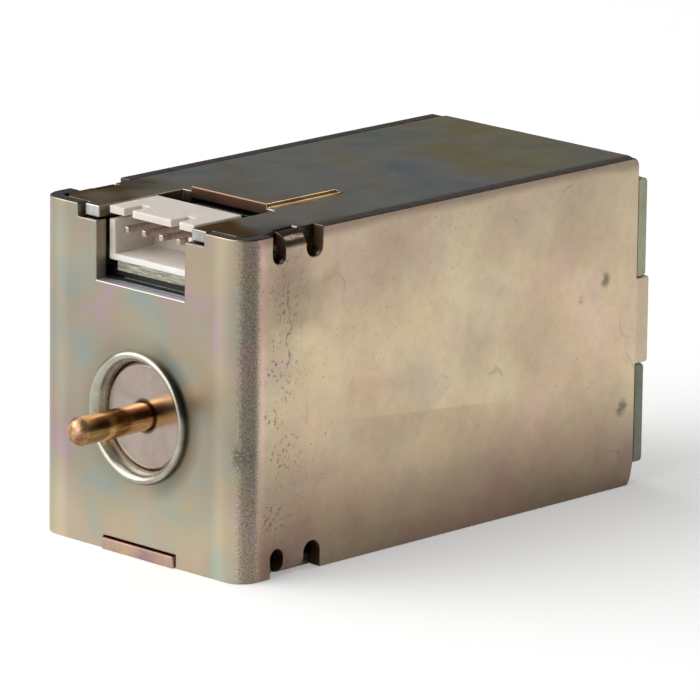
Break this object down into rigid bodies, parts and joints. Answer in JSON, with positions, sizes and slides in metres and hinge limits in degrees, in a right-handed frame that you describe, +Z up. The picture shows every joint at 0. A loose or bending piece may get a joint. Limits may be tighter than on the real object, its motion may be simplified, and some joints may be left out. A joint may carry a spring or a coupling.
{
  "type": "shunt trip release",
  "caption": "Shunt trip solenoid in a folded zinc-plated steel box, with a sprung brass push pin at the front and a white lead header in a notch at the top front edge.",
  "frame": {"origin": "on the push pin's axis, in the plane of the front wall's outer face", "axes": "+Y along the push pin's axis to the rear of the case, +Z up to the plate with the connector window, +X to the right seen from the front"},
  "size_m": [0.03, 0.0703, 0.0365],
  "materials": {
    "zinc_wrap": "zinc plated, warm beige passivation with faint pink and green tints",
    "zinc_channel": "zinc plated, glossy grey-olive passivation",
    "tube_steel": "bright turned steel",
    "core_iron": "turned and plated iron",
    "pin_brass": "drawn brass",
    "spring_steel": "drawn spring wire",
    "shim_brass": "rolled brass",
    "buffer_rubber": "matt black rubber",
    "black_plastic": "matt black",
    "yoke_steel": "zinc plated",
    "bobbin_plastic": "natural glass-filled plastic",
    "coil_wire": "enamelled copper wire",
    "coil_tape": "polyester tape",
    "tinned_metal": "bright tin",
    "board_laminate": "glass-epoxy laminate",
    "header_plastic": "natural white nylon",
    "pin_tin": "tinned brass",
    "package_plastic": "moulded black epoxy",
    "varistor_coat": "dipped epoxy",
    "capacitor_body": "moulded epoxy",
    "resistor_body": "glazed ceramic",
    "film_plastic": "matt black film"
  },
  "bodies": {
    "case": {"wrap_shell": "zinc_wrap", "channel_frame": "zinc_channel", "guide_tube": "tube_steel", "pole_piece": "core_iron", "return_spring": "spring_steel", "shim_washer": "shim_brass", "buffer_pad": "buffer_rubber", "rear_plug": "black_plastic", "yoke": "yoke_steel", "bobbin": "bobbin_plastic", "winding": "coil_wire", "winding_tape": "coil_tape", "coil_terminals": "tinned_metal", "board_tray": "black_plastic", "circuit_board": "board_laminate", "connector_header": "header_plastic", "connector_pins": "pin_tin", "bridge_rectifier": "package_plastic", "power_transistor": "package_plastic", "surge_varistor": "varistor_coat", "smoothing_capacitors": "capacitor_body", "control_chip": "package_plastic", "chip_resistors": "resistor_body", "diodes": "package_plastic", "solder_joints": "tinned_metal", "insulating_film": "film_plastic"},
    "plunger": {"push_pin": "pin_brass", "armature": "core_iron"}
  },
  "joints": [
    {"name": "plunger_slide", "type": "slide", "parent": "case", "child": "plunger", "axis": [0, -1, 0], "range_m": [0, 0.005], "stiffness_N_per_m": 300, "springref_m": -0.004, "deforming": ["return_spring"]}
  ]
}
